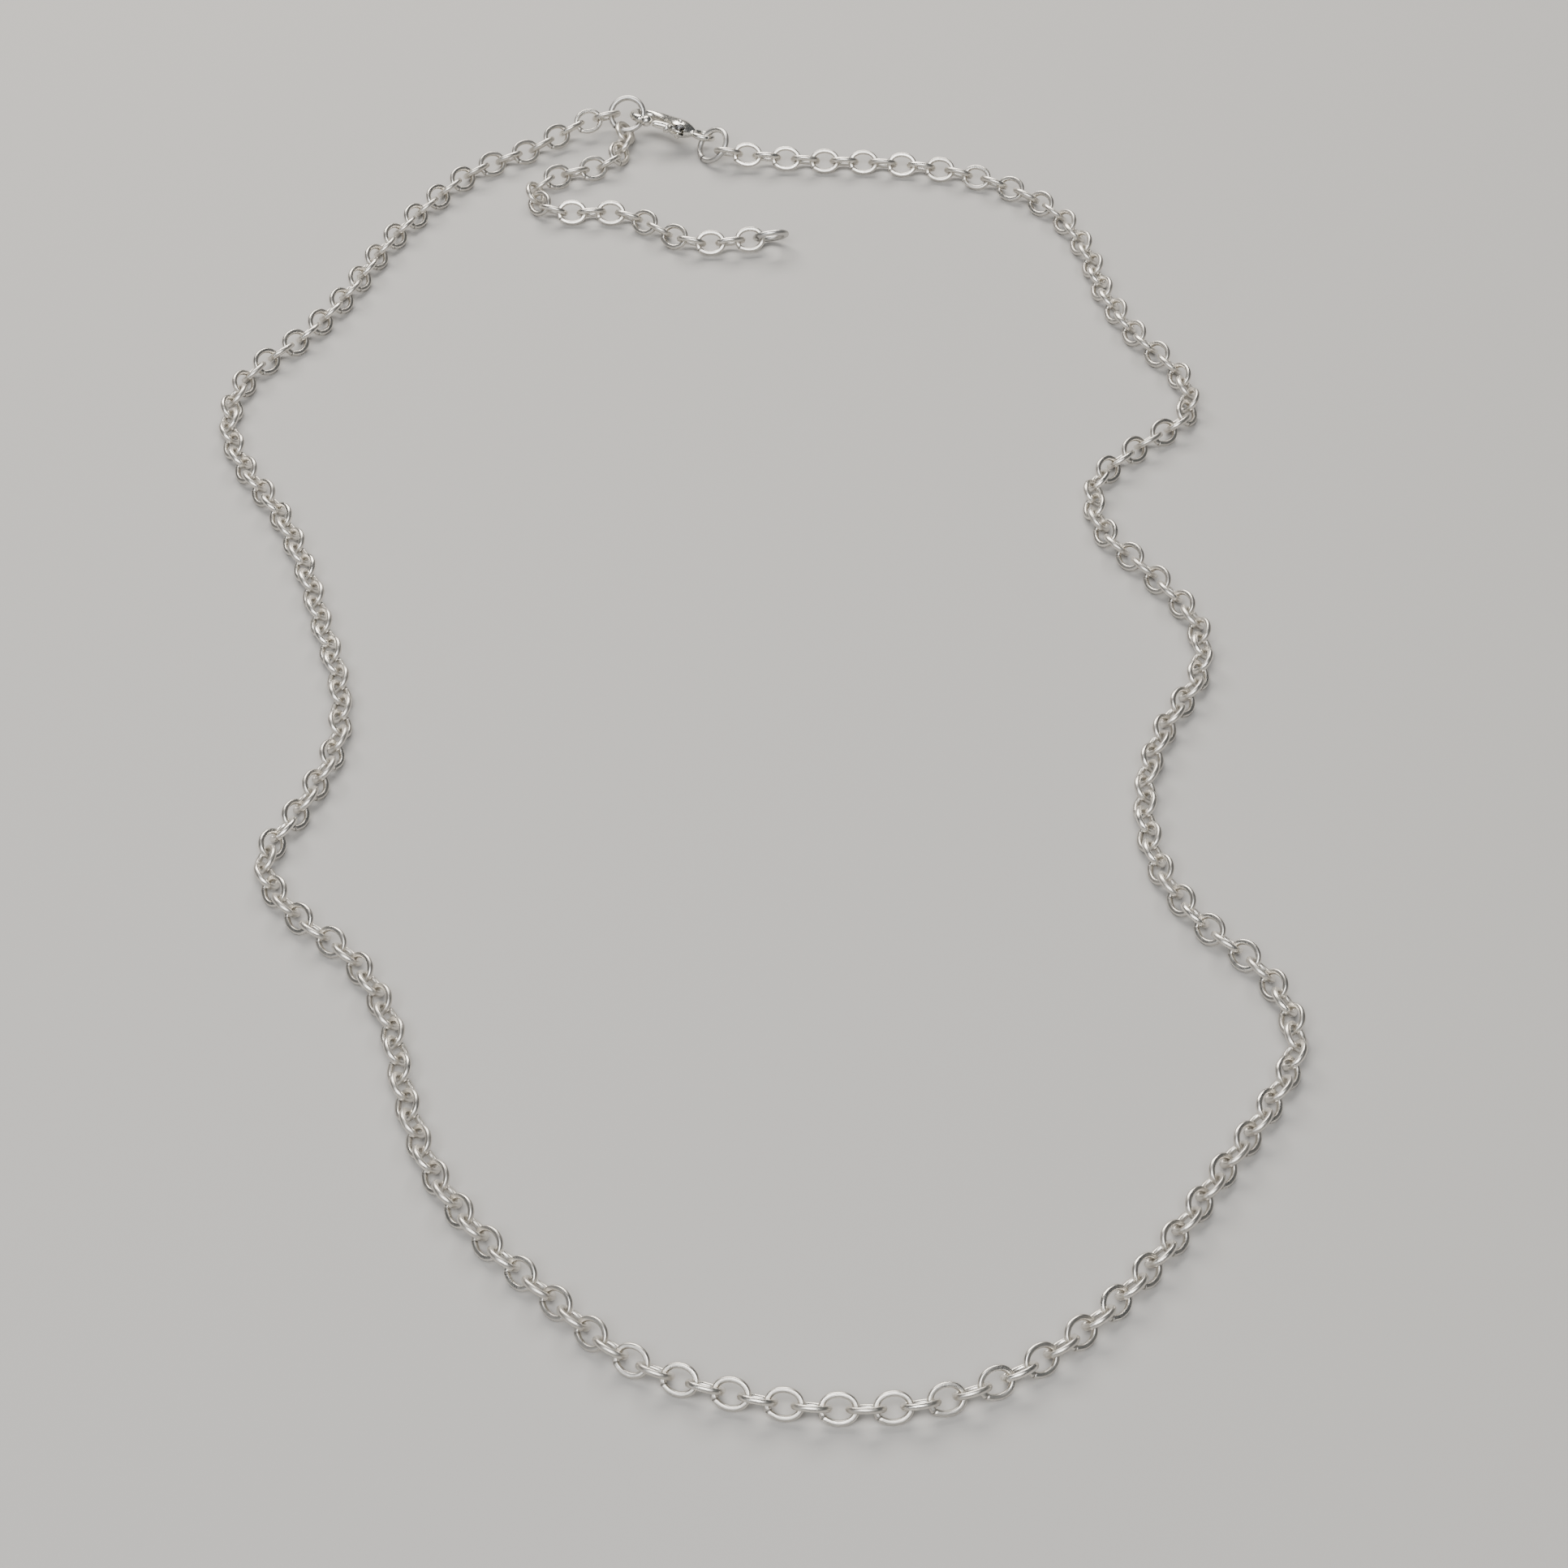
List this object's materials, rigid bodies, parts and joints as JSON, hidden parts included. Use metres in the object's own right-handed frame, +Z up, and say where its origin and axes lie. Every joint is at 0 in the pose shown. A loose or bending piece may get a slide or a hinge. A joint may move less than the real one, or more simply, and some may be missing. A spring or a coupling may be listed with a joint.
{
  "type": "chain necklace",
  "caption": "Cable chain necklace of oval steel links with a lobster clasp, jump rings and an extender tail, lying as a closed loop.",
  "frame": {"origin": "centre of the loop's box, on the surface that it lies on", "axes": "+Z up, +Y from the front of the loop to the clasp, +X to the right"},
  "size_m": [0.1087, 0.196, 0.0042],
  "materials": {
    "chain_steel": "polished, slightly satin stainless steel wire",
    "ring_steel": "tumbled stainless steel wire",
    "clasp_steel": "cast and polished stainless steel",
    "spring_steel": "fine spring wire"
  },
  "bodies": {
    "neck_chain_01": {"neck_chain_01": "chain_steel"},
    "neck_chain_02": {"neck_chain_02": "chain_steel"},
    "neck_chain_03": {"neck_chain_03": "chain_steel"},
    "neck_chain_04": {"neck_chain_04": "chain_steel"},
    "neck_chain_05": {"neck_chain_05": "chain_steel"},
    "neck_chain_06": {"neck_chain_06": "chain_steel"},
    "neck_chain_07": {"neck_chain_07": "chain_steel"},
    "neck_chain_08": {"neck_chain_08": "chain_steel"},
    "neck_chain_09": {"neck_chain_09": "chain_steel"},
    "neck_chain_10": {"neck_chain_10": "chain_steel"},
    "neck_chain_11": {"neck_chain_11": "chain_steel"},
    "neck_chain_12": {"neck_chain_12": "chain_steel"},
    "neck_chain_13": {"neck_chain_13": "chain_steel"},
    "neck_chain_14": {"neck_chain_14": "chain_steel"},
    "neck_chain_15": {"neck_chain_15": "chain_steel"},
    "neck_chain_16": {"neck_chain_16": "chain_steel"},
    "neck_chain_17": {"neck_chain_17": "chain_steel"},
    "neck_chain_18": {"neck_chain_18": "chain_steel"},
    "neck_chain_19": {"neck_chain_19": "chain_steel"},
    "neck_chain_20": {"neck_chain_20": "chain_steel"},
    "neck_chain_21": {"neck_chain_21": "chain_steel"},
    "neck_chain_22": {"neck_chain_22": "chain_steel"},
    "neck_chain_23": {"neck_chain_23": "chain_steel"},
    "neck_chain_24": {"neck_chain_24": "chain_steel"},
    "neck_chain_25": {"neck_chain_25": "chain_steel"},
    "neck_chain_26": {"neck_chain_26": "chain_steel"},
    "neck_chain_27": {"neck_chain_27": "chain_steel"},
    "neck_chain_28": {"neck_chain_28": "chain_steel"},
    "neck_chain_29": {"neck_chain_29": "chain_steel"},
    "neck_chain_30": {"neck_chain_30": "chain_steel"},
    "neck_chain_31": {"neck_chain_31": "chain_steel"},
    "neck_chain_32": {"neck_chain_32": "chain_steel"},
    "neck_chain_33": {"neck_chain_33": "chain_steel"},
    "neck_chain_34": {"neck_chain_34": "chain_steel"},
    "neck_chain_35": {"neck_chain_35": "chain_steel"},
    "neck_chain_36": {"neck_chain_36": "chain_steel"},
    "neck_chain_37": {"neck_chain_37": "chain_steel"},
    "neck_chain_38": {"neck_chain_38": "chain_steel"},
    "neck_chain_39": {"neck_chain_39": "chain_steel"},
    "neck_chain_40": {"neck_chain_40": "chain_steel"},
    "neck_chain_41": {"neck_chain_41": "chain_steel"},
    "neck_chain_42": {"neck_chain_42": "chain_steel"},
    "neck_chain_43": {"neck_chain_43": "chain_steel"},
    "neck_chain_44": {"neck_chain_44": "chain_steel"},
    "neck_chain_45": {"neck_chain_45": "chain_steel"},
    "neck_chain_46": {"neck_chain_46": "chain_steel"},
    "neck_chain_47": {"neck_chain_47": "chain_steel"},
    "extender_chain_01": {"extender_chain_01": "chain_steel"},
    "extender_chain_02": {"extender_chain_02": "chain_steel"},
    "extender_chain_03": {"extender_chain_03": "chain_steel"},
    "extender_chain_04": {"extender_chain_04": "chain_steel"},
    "extender_chain_05": {"extender_chain_05": "chain_steel"},
    "closure_ring": {"closure_ring": "ring_steel"},
    "clasp_ring": {"clasp_ring": "ring_steel"},
    "end_ring": {"end_ring": "ring_steel"},
    "clasp": {"clasp_body": "clasp_steel", "trigger_pin": "clasp_steel", "trigger_spring": "spring_steel"},
    "trigger": {"clasp_trigger": "clasp_steel"}
  },
  "joints": [
    {"name": "bend_24", "type": "hinge", "parent": "neck_chain_25", "child": "neck_chain_24", "pos_m": [0.00367, -0.09533, 0.00115], "axis": [0, 0, 1], "range_deg": [-10, 10]},
    {"name": "bend_23", "type": "hinge", "parent": "neck_chain_24", "child": "neck_chain_23", "pos_m": [0.01724, -0.09633, 0.00115], "axis": [0, 0, 1], "range_deg": [-10, 10]},
    {"name": "bend_02", "type": "hinge", "parent": "neck_chain_03", "child": "neck_chain_02", "pos_m": [0.01971, 0.08783, 0.00115], "axis": [0, 0, 1], "range_deg": [-10, 10]},
    {"name": "bend_01", "type": "hinge", "parent": "neck_chain_02", "child": "neck_chain_01", "pos_m": [0.00613, 0.08883, 0.00137], "axis": [0, 0, 1], "range_deg": [-10, 10]},
    {"name": "bend_32", "type": "hinge", "parent": "neck_chain_31", "child": "neck_chain_32", "pos_m": [-0.03425, -0.04247, 0.00115], "axis": [0, 0, 1], "range_deg": [-20, 20]},
    {"name": "bend_33", "type": "hinge", "parent": "neck_chain_32", "child": "neck_chain_33", "pos_m": [-0.04053, -0.03596, 0.00115], "axis": [0, 0, 1], "range_deg": [-20, 20]},
    {"name": "bend_04", "type": "hinge", "parent": "neck_chain_05", "child": "neck_chain_04", "pos_m": [0.03882, 0.07688, 0.00115], "axis": [0, 0, 1], "range_deg": [-20, 20]},
    {"name": "bend_03", "type": "hinge", "parent": "neck_chain_04", "child": "neck_chain_03", "pos_m": [0.03253, 0.08339, 0.00115], "axis": [0, 0, 1], "range_deg": [-20, 20]},
    {"name": "bend_30", "type": "hinge", "parent": "neck_chain_29", "child": "neck_chain_30", "pos_m": [-0.02636, -0.06352, 0.00115], "axis": [0, 0, -1], "range_deg": [-20, 20]},
    {"name": "bend_31", "type": "hinge", "parent": "neck_chain_30", "child": "neck_chain_31", "pos_m": [-0.02959, -0.05028, 0.00115], "axis": [0, 0, -1], "range_deg": [-20, 20]},
    {"name": "bend_06", "type": "hinge", "parent": "neck_chain_07", "child": "neck_chain_06", "pos_m": [0.04384, 0.0595, 0.00115], "axis": [0, 0, -1], "range_deg": [-20, 20]},
    {"name": "bend_05", "type": "hinge", "parent": "neck_chain_06", "child": "neck_chain_05", "pos_m": [0.0406, 0.07274, 0.00115], "axis": [0, 0, -1], "range_deg": [-20, 20]},
    {"name": "bend_38", "type": "hinge", "parent": "neck_chain_37", "child": "neck_chain_38", "pos_m": [-0.04446, 0.01851, 0.00115], "axis": [0, 0, -1], "range_deg": [-20, 20]},
    {"name": "bend_39", "type": "hinge", "parent": "neck_chain_38", "child": "neck_chain_39", "pos_m": [-0.04866, 0.02656, 0.00115], "axis": [0, 0, -1], "range_deg": [-20, 20]},
    {"name": "bend_08", "type": "hinge", "parent": "neck_chain_09", "child": "neck_chain_08", "pos_m": [0.0488, 0.04931, 0.00115], "axis": [0, 0, -1], "range_deg": [-20, 20]},
    {"name": "bend_07", "type": "hinge", "parent": "neck_chain_08", "child": "neck_chain_07", "pos_m": [0.04459, 0.05736, 0.00115], "axis": [0, 0, -1], "range_deg": [-20, 20]},
    {"name": "bend_34", "type": "hinge", "parent": "neck_chain_33", "child": "neck_chain_34", "pos_m": [-0.0396, -0.02322, 0.00115], "axis": [0, 0, -1], "range_deg": [-20, 20]},
    {"name": "bend_35", "type": "hinge", "parent": "neck_chain_34", "child": "neck_chain_35", "pos_m": [-0.03709, -0.01466, 0.00115], "axis": [0, 0, -1], "range_deg": [-20, 20]},
    {"name": "bend_10", "type": "hinge", "parent": "neck_chain_11", "child": "neck_chain_10", "pos_m": [0.03975, 0.02206, 0.00115], "axis": [0, 0, -1], "range_deg": [-20, 20]},
    {"name": "bend_09", "type": "hinge", "parent": "neck_chain_10", "child": "neck_chain_09", "pos_m": [0.04225, 0.03062, 0.00115], "axis": [0, 0, -1], "range_deg": [-20, 20]},
    {"name": "bend_28", "type": "hinge", "parent": "neck_chain_27", "child": "neck_chain_28", "pos_m": [-0.01785, -0.07946, 0.00115], "axis": [0, 0, 1], "range_deg": [-20, 20]},
    {"name": "bend_29", "type": "hinge", "parent": "neck_chain_28", "child": "neck_chain_29", "pos_m": [-0.02488, -0.06782, 0.00115], "axis": [0, 0, 1], "range_deg": [-20, 20]},
    {"name": "bend_12", "type": "hinge", "parent": "neck_chain_13", "child": "neck_chain_12", "pos_m": [0.04723, 0.00827, 0.00115], "axis": [0, 0, 1], "range_deg": [-20, 20]},
    {"name": "bend_11", "type": "hinge", "parent": "neck_chain_12", "child": "neck_chain_11", "pos_m": [0.0402, 0.01991, 0.00115], "axis": [0, 0, 1], "range_deg": [-20, 20]},
    {"name": "bend_14", "type": "hinge", "parent": "neck_chain_15", "child": "neck_chain_14", "pos_m": [0.0434, -0.01517, 0.00115], "axis": [0, 0, -1], "range_deg": [-20, 20]},
    {"name": "bend_13", "type": "hinge", "parent": "neck_chain_14", "child": "neck_chain_13", "pos_m": [0.04879, -0.00266, 0.00115], "axis": [0, 0, -1], "range_deg": [-20, 20]},
    {"name": "bend_44", "type": "hinge", "parent": "neck_chain_43", "child": "neck_chain_44", "pos_m": [-0.04142, 0.06357, 0.00115], "axis": [0, 0, -1], "range_deg": [-20, 20]},
    {"name": "bend_45", "type": "hinge", "parent": "neck_chain_44", "child": "neck_chain_45", "pos_m": [-0.03603, 0.07608, 0.00115], "axis": [0, 0, -1], "range_deg": [-20, 20]},
    {"name": "bend_36", "type": "hinge", "parent": "neck_chain_35", "child": "neck_chain_36", "pos_m": [-0.03913, 0.00113, 0.00115], "axis": [0, 0, 1], "range_deg": [-20, 20]},
    {"name": "bend_37", "type": "hinge", "parent": "neck_chain_36", "child": "neck_chain_37", "pos_m": [-0.0422, 0.01203, 0.00115], "axis": [0, 0, 1], "range_deg": [-20, 20]},
    {"name": "bend_16", "type": "hinge", "parent": "neck_chain_17", "child": "neck_chain_16", "pos_m": [0.04496, -0.03723, 0.00115], "axis": [0, 0, 1], "range_deg": [-20, 20]},
    {"name": "bend_15", "type": "hinge", "parent": "neck_chain_16", "child": "neck_chain_15", "pos_m": [0.04189, -0.02633, 0.00115], "axis": [0, 0, 1], "range_deg": [-20, 20]},
    {"name": "bend_18", "type": "hinge", "parent": "neck_chain_19", "child": "neck_chain_18", "pos_m": [0.05274, -0.05736, 0.00115], "axis": [0, 0, -1], "range_deg": [-8, 8]},
    {"name": "bend_17", "type": "hinge", "parent": "neck_chain_18", "child": "neck_chain_17", "pos_m": [0.0526, -0.04842, 0.00115], "axis": [0, 0, -1], "range_deg": [-8, 8]},
    {"name": "bend_40", "type": "hinge", "parent": "neck_chain_39", "child": "neck_chain_40", "pos_m": [-0.05234, 0.03487, 0.00115], "axis": [0, 0, -1], "range_deg": [-8, 8]},
    {"name": "bend_41", "type": "hinge", "parent": "neck_chain_40", "child": "neck_chain_41", "pos_m": [-0.05248, 0.04381, 0.00115], "axis": [0, 0, -1], "range_deg": [-8, 8]},
    {"name": "bend_20", "type": "hinge", "parent": "neck_chain_21", "child": "neck_chain_20", "pos_m": [0.04489, -0.07112, 0.00115], "axis": [0, 0, 1], "range_deg": [-20, 20]},
    {"name": "bend_19", "type": "hinge", "parent": "neck_chain_20", "child": "neck_chain_19", "pos_m": [0.0519, -0.05944, 0.00115], "axis": [0, 0, 1], "range_deg": [-20, 20]},
    {"name": "bend_42", "type": "hinge", "parent": "neck_chain_41", "child": "neck_chain_42", "pos_m": [-0.04927, 0.0498, 0.00115], "axis": [0, 0, 1], "range_deg": [-20, 20]},
    {"name": "bend_43", "type": "hinge", "parent": "neck_chain_42", "child": "neck_chain_43", "pos_m": [-0.04226, 0.06147, 0.00115], "axis": [0, 0, 1], "range_deg": [-20, 20]},
    {"name": "bend_22", "type": "hinge", "parent": "neck_chain_23", "child": "neck_chain_22", "pos_m": [0.02578, -0.09328, 0.00115], "axis": [0, 0, 1], "range_deg": [-20, 20]},
    {"name": "bend_21", "type": "hinge", "parent": "neck_chain_22", "child": "neck_chain_21", "pos_m": [0.03592, -0.0843, 0.00115], "axis": [0, 0, 1], "range_deg": [-20, 20]},
    {"name": "bend_46", "type": "hinge", "parent": "neck_chain_45", "child": "neck_chain_46", "pos_m": [-0.03262, 0.08199, 0.00115], "axis": [0, 0, 1], "range_deg": [-20, 20]},
    {"name": "bend_47", "type": "hinge", "parent": "neck_chain_46", "child": "neck_chain_47", "pos_m": [-0.02248, 0.09097, 0.00115], "axis": [0, 0, 1], "range_deg": [-20, 20]},
    {"name": "bend_26", "type": "hinge", "parent": "neck_chain_27", "child": "neck_chain_26", "pos_m": [-0.00853, -0.08953, 0.00115], "axis": [0, 0, 1], "range_deg": [-8, 8]},
    {"name": "bend_25", "type": "hinge", "parent": "neck_chain_26", "child": "neck_chain_25", "pos_m": [-0.00055, -0.09377, 0.00115], "axis": [0, 0, 1], "range_deg": [-8, 8]},
    {"name": "clasp_swing", "type": "hinge", "parent": "neck_chain_01", "child": "clasp", "pos_m": [-0.00228, 0.09207, 0.00174], "axis": [0, 0, 1], "range_deg": [-8, 8]},
    {"name": "closure_ring_turn", "type": "hinge", "parent": "neck_chain_47", "child": "closure_ring", "pos_m": [-0.01165, 0.09653, 0.0024], "axis": [-0.1622, -0.6882, 0.7071], "continuous": true},
    {"name": "clasp_ring_turn", "type": "hinge", "parent": "neck_chain_01", "child": "clasp_ring", "pos_m": [-0.00137, 0.09092, 0.00174], "axis": [-0.6012, -0.3722, 0.7071], "continuous": true},
    {"name": "trigger_press", "type": "hinge", "parent": "clasp", "child": "trigger", "pos_m": [-0.00544, 0.09357, 0.00223], "axis": [-0.2358, -0.3403, -0.9103], "range_deg": [0, 25], "stiffness_Nm_per_rad": 0.0006, "springref_deg": -11.46},
    {"name": "extender_bend_1", "type": "hinge", "parent": "neck_chain_47", "child": "extender_chain_01", "pos_m": [-0.0118, 0.0957, 0.00105], "axis": [0, 0, 1], "range_deg": [-12, 12]},
    {"name": "extender_bend_2", "type": "hinge", "parent": "extender_chain_01", "child": "extender_chain_02", "pos_m": [-0.0121, 0.09119, 0.00109], "axis": [0, 0, -1], "range_deg": [-18, 18]},
    {"name": "extender_bend_3", "type": "hinge", "parent": "extender_chain_02", "child": "extender_chain_03", "pos_m": [-0.01852, 0.08573, 0.00115], "axis": [0, 0, 1], "range_deg": [-18, 18]},
    {"name": "extender_bend_4", "type": "hinge", "parent": "extender_chain_03", "child": "extender_chain_04", "pos_m": [-0.01637, 0.07773, 0.00115], "axis": [0, 0, -1], "range_deg": [-18, 18]},
    {"name": "extender_bend_5", "type": "hinge", "parent": "extender_chain_04", "child": "extender_chain_05", "pos_m": [-0.00645, 0.07359, 0.00115], "axis": [0, 0, 1], "range_deg": [-18, 18]},
    {"name": "end_ring_swing", "type": "hinge", "parent": "extender_chain_05", "child": "end_ring", "pos_m": [0.0042, 0.0722, 0.00145], "axis": [0, 0, 1], "range_deg": [-15, 15]}
  ],
  "couplings": [
    {"joint": "bend_23", "follows": "bend_24", "ratio": -1},
    {"joint": "bend_02", "follows": "bend_24", "ratio": 1},
    {"joint": "bend_01", "follows": "bend_24", "ratio": -1},
    {"joint": "bend_33", "follows": "bend_32", "ratio": -1},
    {"joint": "bend_04", "follows": "bend_32", "ratio": 1},
    {"joint": "bend_03", "follows": "bend_32", "ratio": -1},
    {"joint": "bend_31", "follows": "bend_30", "ratio": -1},
    {"joint": "bend_06", "follows": "bend_30", "ratio": 1},
    {"joint": "bend_05", "follows": "bend_30", "ratio": -1},
    {"joint": "bend_39", "follows": "bend_38", "ratio": -1},
    {"joint": "bend_08", "follows": "bend_38", "ratio": 1},
    {"joint": "bend_07", "follows": "bend_38", "ratio": -1},
    {"joint": "bend_35", "follows": "bend_34", "ratio": -1},
    {"joint": "bend_10", "follows": "bend_34", "ratio": 1},
    {"joint": "bend_09", "follows": "bend_34", "ratio": -1},
    {"joint": "bend_29", "follows": "bend_28", "ratio": -1},
    {"joint": "bend_12", "follows": "bend_28", "ratio": 1},
    {"joint": "bend_11", "follows": "bend_28", "ratio": -1},
    {"joint": "bend_13", "follows": "bend_14", "ratio": -1},
    {"joint": "bend_44", "follows": "bend_14", "ratio": 1},
    {"joint": "bend_45", "follows": "bend_14", "ratio": -1},
    {"joint": "bend_37", "follows": "bend_36", "ratio": -1},
    {"joint": "bend_16", "follows": "bend_36", "ratio": 1},
    {"joint": "bend_15", "follows": "bend_36", "ratio": -1},
    {"joint": "bend_17", "follows": "bend_18", "ratio": -1},
    {"joint": "bend_40", "follows": "bend_18", "ratio": 1},
    {"joint": "bend_41", "follows": "bend_18", "ratio": -1},
    {"joint": "bend_19", "follows": "bend_20", "ratio": -1},
    {"joint": "bend_42", "follows": "bend_20", "ratio": 1},
    {"joint": "bend_43", "follows": "bend_20", "ratio": -1},
    {"joint": "bend_21", "follows": "bend_22", "ratio": -1},
    {"joint": "bend_46", "follows": "bend_22", "ratio": 1},
    {"joint": "bend_47", "follows": "bend_22", "ratio": -1},
    {"joint": "bend_25", "follows": "bend_26", "ratio": -1},
    {"joint": "clasp_swing", "follows": "bend_26", "ratio": 1}
  ]
}
